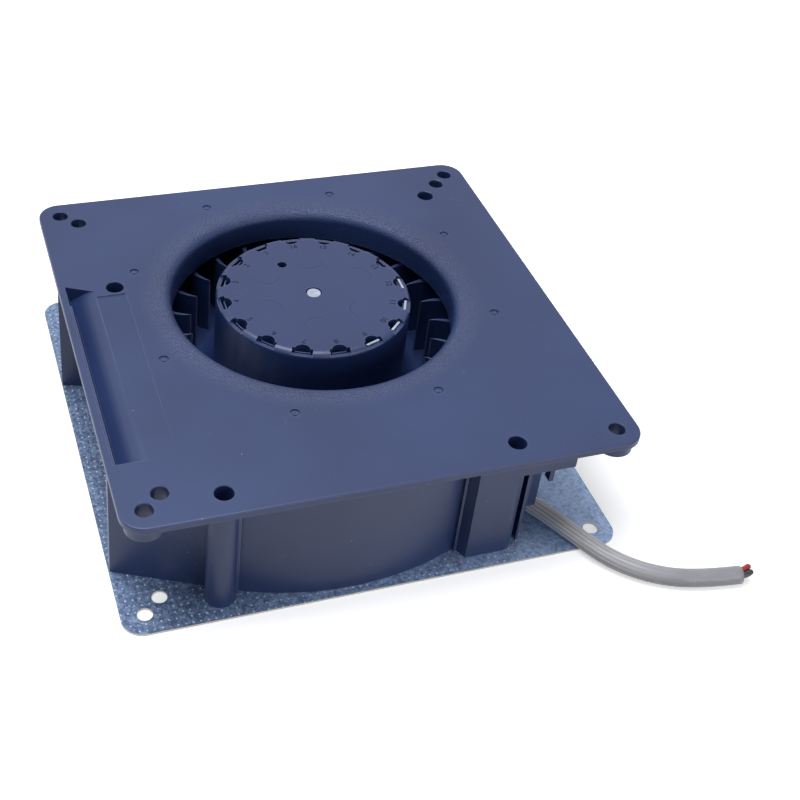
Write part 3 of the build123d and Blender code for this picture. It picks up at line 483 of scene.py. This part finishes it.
def black_moulding(name, light, dark, roughness, dusty=0.035, edge_highlight_share=0.6, grained=False,
                   shine=NYLON_SHINE):
    """Black nylon: slow tone, fine grain, dust, scratches and a painted highlight on the edges."""
    material, tree, shader = new_finish(name, roughness)
    shader.inputs["Specular IOR Level"].default_value = shine
    place = place_of(tree)
    skin = use(tree, grain, Place=place)
    tint = mixed(tree, skin["Tone"], opaque(dark), opaque(light))
    scuff = use(tree, scratches, Place=place)
    tint = laid_over(tree, tint, scuff["Mask"], SCUFF_STRENGTH, EDGE_HIGHLIGHT_AND_SCRATCH)
    # painted highlight: a lighter colour along the edges
    rim = use(tree, edges, Place=place)
    tint = laid_over(tree, tint, rim["Mask"], edge_highlight_share, EDGE_HIGHLIGHT_AND_SCRATCH)
    specks = use(tree, dust, Place=place, Share=dusty)
    tint = laid_over(tree, tint, specks["Mask"], DUST_STRENGTH, DUST_COLOUR)
    feed(tree, shader.inputs["Base Color"], tint)
    height = relief(tree, skin["Height"], NYLON_GRAIN_REACH, 0.35)
    if grained:
        radius = distance_from_axis(tree, place)
        inside = maths(tree, "MULTIPLY", span(tree, radius, *INLET_GRAIN_IN),
                       span(tree, radius, *INLET_GRAIN_OUT))
        coarse = maths(tree, "MULTIPLY", clouds(tree, place, INLET_GRAIN_WAVES, 1.0), inside)
        height = relief(tree, coarse, INLET_GRAIN_REACH, 0.8, height)
    feed(tree, shader.inputs["Normal"], height)
    return material


housing_finish = black_moulding("black_housing_nylon", HOUSING_LIGHT, HOUSING_DARK, 0.42,
                                grained=True)
smooth_shaded("scroll_housing")
dress("scroll_housing", housing_finish)


# The base plate: galvanised sheet with a mottled zinc spangle and rows of small bright dots
# rolled into it. The pressing's corner holes have a coined ring.
ZINC_LIGHT = (0.40, 0.54, 0.80)
ZINC_DARK = (0.10, 0.155, 0.28)
ZINC_DOT = (0.70, 0.80, 0.95)
ZINC_SIDE_REFLECTION = (0.60, 0.58, 0.52)
ZINC_DULL_TO_BRIGHT = (-0.08, 0.09)
ZINC_TONE_SHIFT = (-0.28, 0.22)
SPANGLE_CELLS = 520.0
SPANGLE_JITTER = (0.002, 0.002, 0.002)
MOTTLE_WAVES = 700.0
DOT_PITCH = (0.0031, 0.0033, 1.0)
DOT_SIZE = 0.17
DOT_TURN = math.radians(1.5)
DOTS_END = (0.066, 0.082)

zinc, tree, shader = new_finish("galvanised_sheet", 0.46, metallic=0.55)
place = place_of(tree)
spangle = node_in(tree, "ShaderNodeTexVoronoi", Scale=SPANGLE_CELLS)
jitter = node_in(tree, "ShaderNodeTexNoise", Scale=900.0, Detail=3.0)
tree.links.new(place, jitter.inputs["Vector"])
bend = vectors(tree, "MULTIPLY", jitter.outputs["Color"], SPANGLE_JITTER)
tree.links.new(vectors(tree, "ADD", place, bend), spangle.inputs["Vector"])
cell_tone = node_in(tree, "ShaderNodeSeparateColor")
tree.links.new(spangle.outputs["Color"], cell_tone.inputs["Color"])
mottle = clouds(tree, place, MOTTLE_WAVES, 5.0, 0.7)
slow_tone = clouds(tree, place, 22.0, 3.0)
tone = maths(tree, "ADD", maths(tree, "MULTIPLY", cell_tone.outputs["Red"], 0.35),
             maths(tree, "MULTIPLY", span(tree, mottle, 0.38, 0.62), 0.55))
tone = maths(tree, "ADD", tone, maths(tree, "MULTIPLY", span(tree, slow_tone, 0.3, 0.7), 0.15))
along_plate = node_in(tree, "ShaderNodeSeparateXYZ")
tree.links.new(place, along_plate.inputs["Vector"])
shift = span(tree, along_plate.outputs["X"], *ZINC_DULL_TO_BRIGHT, *ZINC_TONE_SHIFT)
tone = maths(tree, "ADD", tone, shift)
tint = mixed(tree, tone, opaque(ZINC_DARK), opaque(ZINC_LIGHT))

turned_place = node_in(tree, "ShaderNodeVectorRotate", {"rotation_type": "Z_AXIS"}, Angle=DOT_TURN)
tree.links.new(place, turned_place.inputs["Vector"])
in_cells = vectors(tree, "DIVIDE", turned_place.outputs[0], DOT_PITCH)
part_cell = vectors(tree, "FRACTION", in_cells, (0.0, 0.0, 0.0))
flat_cell = vectors(tree, "MULTIPLY", part_cell, (1.0, 1.0, 0.0))
from_dot = vectors(tree, "DISTANCE", flat_cell, (0.5, 0.5, 0.0), "Value")
showing = span(tree, clouds(tree, place, 260.0, 2.0), 0.34, 0.54)
dotted = span(tree, along_plate.outputs["X"], *DOTS_END, 1.0, 0.0)
dot = maths(tree, "MULTIPLY", span(tree, from_dot, DOT_SIZE, DOT_SIZE * 0.5), dotted)
shown_dot = maths(tree, "MULTIPLY", dot, showing)
tint = laid_over(tree, tint, shown_dot, 0.85, ZINC_DOT)
# painted highlight: the sheet's edges take the bright dot colour
rim = use(tree, edges, Place=place, Radius=0.0004)
tint = laid_over(tree, tint, rim["Mask"], 0.5, ZINC_DOT)
# painted reflection: the sheet's cut sides are painted pale beige, the floor's light seen in them
facing = node_in(tree, "ShaderNodeNewGeometry").outputs["True Normal"]
upright = node_in(tree, "ShaderNodeSeparateXYZ")
tree.links.new(facing, upright.inputs["Vector"])
side = span(tree, maths(tree, "ABSOLUTE", upright.outputs["Z"]), 0.5, 0.3)
feed(tree, shader.inputs["Base Color"], mixed(tree, side, tint, opaque(ZINC_SIDE_REFLECTION)))
feed(tree, shader.inputs["Roughness"], span(tree, mottle, 0.3, 0.7, 0.36, 0.56))
under = relief(tree, mottle, 0.0004, 0.6)
feed(tree, shader.inputs["Normal"], relief(tree, dot, 0.0002, 0.6, under))
smooth_shaded("base_plate")
dress("base_plate", zinc)


# The impeller: hub, blades and shroud ring in one moulding of the same nylon. It comes smoother
# from its tool than the housing does, and little dust stays on it.
HUB_LIGHT = (0.018, 0.036, 0.120)
HUB_DARK = (0.011, 0.025, 0.092)

impeller_finish = black_moulding("black_impeller_nylon", HUB_LIGHT, HUB_DARK, 0.36, dusty=0.008)
smooth_shaded("impeller")
dress("impeller", impeller_finish)


# The balancing numbers: sixteen small figures, one at each pocket, moulded a little proud of the
# hub's face. Their tops point outward. Their colour is painted darker than the face's, as painted shade for their
# low relief.
NUMBER_SHADE_LIGHT = (0.006, 0.008, 0.020)
NUMBER_SHADE_DARK = (0.003, 0.004, 0.010)
NUMBER_RADIUS = 0.0363
NUMBER_SIZE = 0.0040
NUMBER_HEIGHT = 0.00008
NUMBER_COUNT = 16
FIRST_NUMBER_ANGLE = 111.2
hub_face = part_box("impeller")[1].z


def polar(radius, angle):
    """A point on the hub's face."""
    return Vector((rotor_axis.x + radius * math.cos(math.radians(angle)),
                   rotor_axis.y + radius * math.sin(math.radians(angle)), hub_face))


shaded_number_finish = black_moulding("shaded_number_nylon", NUMBER_SHADE_LIGHT, NUMBER_SHADE_DARK, 0.5, dusty=0.0,
                               edge_highlight_share=0.0, shine=0.12)
for number in range(1, NUMBER_COUNT + 1):
    angle = FIRST_NUMBER_ANGLE + (number - 1) * 360 / NUMBER_COUNT
    letters = bpy.data.curves.new(f"number_{number}", "FONT")
    letters.body = str(number)
    letters.size = 1.0
    letters.align_x, letters.align_y = "CENTER", "CENTER"
    letters.extrude = NUMBER_HEIGHT / NUMBER_SIZE / 2
    letters.resolution_u = 4
    carrier = bpy.data.objects.new(f"number_{number}_line", letters)
    bpy.context.scene.collection.objects.link(carrier)
    bpy.context.view_layer.update()
    shape = bpy.data.meshes.new_from_object(carrier)
    bpy.data.objects.remove(carrier)
    shape.transform(Matrix.Translation(polar(NUMBER_RADIUS, angle))
                    @ Matrix.Rotation(math.radians(angle - 90), 4, "Z")
                    @ Matrix.Scale(NUMBER_SIZE, 4))
    piece = bpy.data.objects.new(f"hub_number_{number}", shape)
    bpy.context.scene.collection.objects.link(piece)
    shape.materials.clear()
    shape.materials.append(shaded_number_finish)
    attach(piece, "rotor")


# The gate marks: six thin round lines on the hub's face, left by the moulding tool. Each stands
# proud on one side, towards its angle in GATE_SHOWN, and sinks into the face on the other.
GATE_LIGHT = (0.009, 0.018, 0.060)
GATE_DARK = (0.006, 0.013, 0.045)
GATE_COUNT = 6
GATE_CIRCLE = 0.025
GATE_RADIUS = 0.0063
GATE_WIDTH = 0.00024
GATE_HEIGHT = 0.00006
GATE_SHOWN = (0.6, 4.7, 4.9, 0.8, 1.6, 3.0)
GATE_PROFILE = (
    (GATE_RADIUS - GATE_WIDTH, -GATE_HEIGHT),
    (GATE_RADIUS, GATE_HEIGHT),
    (GATE_RADIUS + GATE_WIDTH, -GATE_HEIGHT),
    (GATE_RADIUS, -3 * GATE_HEIGHT),
)
FIRST_GATE_ANGLE = 18
RING_SIDES = 64

gate_finish = black_moulding("gate_mark_nylon", GATE_LIGHT, GATE_DARK, 0.42, dusty=0.0,
                             edge_highlight_share=0.0, shine=0.25)
for n in range(GATE_COUNT):
    middle = polar(GATE_CIRCLE, FIRST_GATE_ANGLE + n * 360 / GATE_COUNT)
    rings = []
    for radius, height in GATE_PROFILE:
        ring = []
        for m in range(RING_SIDES):
            turn = 2 * math.pi * m / RING_SIDES
            sunk = GATE_HEIGHT * (1 - math.cos(turn - GATE_SHOWN[n]))
            x, y = radius * math.cos(turn), radius * math.sin(turn)
            ring.append(middle + Vector((x, y, height - sunk)))
        rings.append(ring)
    add_piece(loft(rings, closed=True), f"gate_mark_{n + 1}", "rotor", gate_finish)


# The metal pieces: the clips, shaft, screws, bearings and motor parts, turned, ground, pressed or
# plated. Each has two tones of its metal, a fine skin from its tool and a painted highlight on its edges.
def metal(name, light, dark, roughness, metallic=1.0, fine=1800.0, edge_highlight_colour=None):
    """Bare or plated metal, with a painted highlight on its edges in the light tone where no other colour is
    given.
    """
    material, tree, shader = new_finish(name, roughness, metallic)
    place = place_of(tree)
    skin = use(tree, grain, Place=place, Fine=fine, Slow=180.0)
    tint = mixed(tree, skin["Tone"], opaque(dark), opaque(light))
    # painted highlight along the edges
    rim = use(tree, edges, Place=place, Radius=0.0002, Patchy=400.0)
    tint = laid_over(tree, tint, rim["Mask"], 0.5, edge_highlight_colour or light)
    feed(tree, shader.inputs["Base Color"], tint)
    feed(tree, shader.inputs["Roughness"],
         span(tree, skin["Tone"], 0.0, 1.0, roughness * 0.85, roughness * 1.2))
    feed(tree, shader.inputs["Normal"], relief(tree, skin["Height"], 0.00004, 0.3))
    return material


METALS = {
    "bright_steel": metal("ground_steel", (0.52, 0.57, 0.68), (0.36, 0.40, 0.50), 0.34,
                          edge_highlight_colour=(0.80, 0.84, 0.92)),
    "screw_steel": metal("plated_screw_steel", (0.60, 0.61, 0.60), (0.42, 0.43, 0.42), 0.36),
    "rotor_steel": metal("drawn_rotor_steel", (0.36, 0.37, 0.40), (0.26, 0.27, 0.29), 0.40),
    "core_steel": metal("laminated_core_steel", (0.30, 0.29, 0.30), (0.20, 0.19, 0.20), 0.45),
    "cast_aluminium": metal("cast_aluminium", (0.62, 0.63, 0.64), (0.50, 0.51, 0.52), 0.50,
                            fine=900.0),
    "brass": metal("turned_brass", (0.72, 0.55, 0.25), (0.55, 0.40, 0.17), 0.30),
    "cage_brass": metal("pressed_cage_brass", (0.66, 0.54, 0.28), (0.50, 0.40, 0.20), 0.35),
    "copper_wire": metal("enamelled_copper", (0.62, 0.24, 0.09), (0.42, 0.14, 0.05), 0.30, 0.8),
    "ferrite": metal("pressed_ferrite", (0.09, 0.09, 0.10), (0.05, 0.05, 0.06), 0.62, 0.2, 700.0),
}


# The moulded and coated pieces inside the motor: nylon caps, the board with its parts and the
# leads' insulation. Each has two tones of its colour, a fine skin and a few specks of dust.
def coating(name, light, dark, roughness):
    """Plastic, lacquer or insulation."""
    material, tree, shader = new_finish(name, roughness)
    place = place_of(tree)
    skin = use(tree, grain, Place=place, Fine=1500.0, Slow=220.0)
    tint = mixed(tree, skin["Tone"], opaque(dark), opaque(light))
    specks = use(tree, dust, Place=place, Cells=900.0, Share=0.02)
    tint = laid_over(tree, tint, specks["Mask"], 0.3, DUST_COLOUR)
    feed(tree, shader.inputs["Base Color"], tint)
    feed(tree, shader.inputs["Normal"], relief(tree, skin["Height"], 0.00005, 0.3))
    return material


COATINGS = {
    "insulator_plastic": coating("natural_nylon", (0.78, 0.75, 0.66), (0.68, 0.65, 0.56), 0.45),
    "board_laminate": coating("green_solder_mask", (0.03, 0.17, 0.08), (0.02, 0.12, 0.06), 0.30),
    "component_black": coating("moulded_epoxy", (0.025, 0.025, 0.028), (0.015, 0.015, 0.018), 0.42),
    "component_blue": coating("capacitor_sleeve", (0.03, 0.05, 0.20), (0.02, 0.03, 0.14), 0.28),
    "red_insulation": coating("red_lead_insulation", (0.42, 0.015, 0.02), (0.30, 0.01, 0.015),
                              0.34),
    "black_insulation": coating("black_lead_insulation", (0.02, 0.02, 0.022),
                                (0.012, 0.012, 0.014), 0.34),
}
slot_of = {part["node"]: part["material_slot"] for part in frame["record"]["subparts"]}
for node in frame["nodes"]:
    if node in ("scroll_housing", "base_plate", "impeller"):
        continue
    smooth_shaded(node)
    slot = slot_of[node]
    dress(node, METALS.get(slot) or COATINGS.get(slot) or sleeve_finish)


# The floor and the light: a plain pale sheet under the fan, a large soft lamp overhead a little
# to the left, and weaker ones at the front right and the back left that catch the edges.
FLOOR_SIZE = 6.0
FLOOR_SEEN = (0.86, 0.86, 0.87)
FLOOR_BOUNCE = (0.08, 0.08, 0.09)
FLOOR_GLOW_NEAR = 0.42
SHADE_REACH = (0.12, 0.40)
SKY_LIGHT = 0.05
LAMP_TARGET = (0.0, 0.0, 0.03)
LAMPS = (
    ("overhead", (-0.22, 0.06, 1.30), 1.0, 21.0, (0.96, 0.97, 1.0)),
    ("front", (0.60, -1.45, 0.42), 0.9, 8.0, (0.96, 0.97, 1.0)),
    ("left", (-1.35, 0.5, 0.5), 0.8, 4.0, (0.95, 0.97, 1.0)),
)


def seen_directly(tree):
    """One for what is seen straight, in a shiny surface or through glass, zero for stray light."""
    rays = node_in(tree, "ShaderNodeLightPath")
    straight = maths(tree, "MAXIMUM", rays.outputs["Is Camera Ray"], rays.outputs["Is Glossy Ray"])
    return maths(tree, "MAXIMUM", straight, rays.outputs["Is Transmission Ray"])


floor_form = bmesh.new()
bmesh.ops.create_grid(floor_form, x_segments=8, y_segments=8, size=FLOOR_SIZE)
floor_shape = bpy.data.meshes.new("floor")
floor_form.to_mesh(floor_shape)
floor_form.free()
floor = bpy.data.objects.new("floor", floor_shape)
bpy.context.scene.collection.objects.link(floor)
floor_finish, tree, shader = new_finish("pale_floor", 0.9)
shader.inputs["Specular IOR Level"].default_value = 0.0
seen = seen_directly(tree)
feed(tree, shader.inputs["Base Color"], mixed(tree, seen, opaque(FLOOR_BOUNCE), opaque(FLOOR_SEEN)))
shader.inputs["Emission Color"].default_value = opaque((1.0, 1.0, 1.0))
away = vectors(tree, "LENGTH", place_of(tree), (0.0, 0.0, 0.0), "Value")
glow = span(tree, away, *SHADE_REACH, FLOOR_GLOW_NEAR, 1.0)
feed(tree, shader.inputs["Emission Strength"], maths(tree, "MULTIPLY", seen, glow))
floor_shape.materials.append(floor_finish)

for name, spot, size, power, tint in LAMPS:
    lamp = bpy.data.lights.new(name, "AREA")
    lamp.shape = "SQUARE"
    lamp.size = size
    lamp.energy = power
    lamp.color = tint
    lamp_object = bpy.data.objects.new(name, lamp)
    bpy.context.scene.collection.objects.link(lamp_object)
    lamp_object.location = spot
    aim = Vector(LAMP_TARGET) - Vector(spot)
    lamp_object.rotation_euler = aim.to_track_quat("-Z", "Y").to_euler()

world = bpy.data.worlds.new("studio")
bpy.context.scene.world = world
world.use_nodes = True
sky = world.node_tree
background = sky.nodes["Background"]
background.inputs["Color"].default_value = opaque((1.0, 1.0, 1.0))
feed(sky, background.inputs["Strength"], span(sky, seen_directly(sky), 0.0, 1.0, SKY_LIGHT, 1.0))

bpy.context.scene.view_settings.view_transform = "Standard"
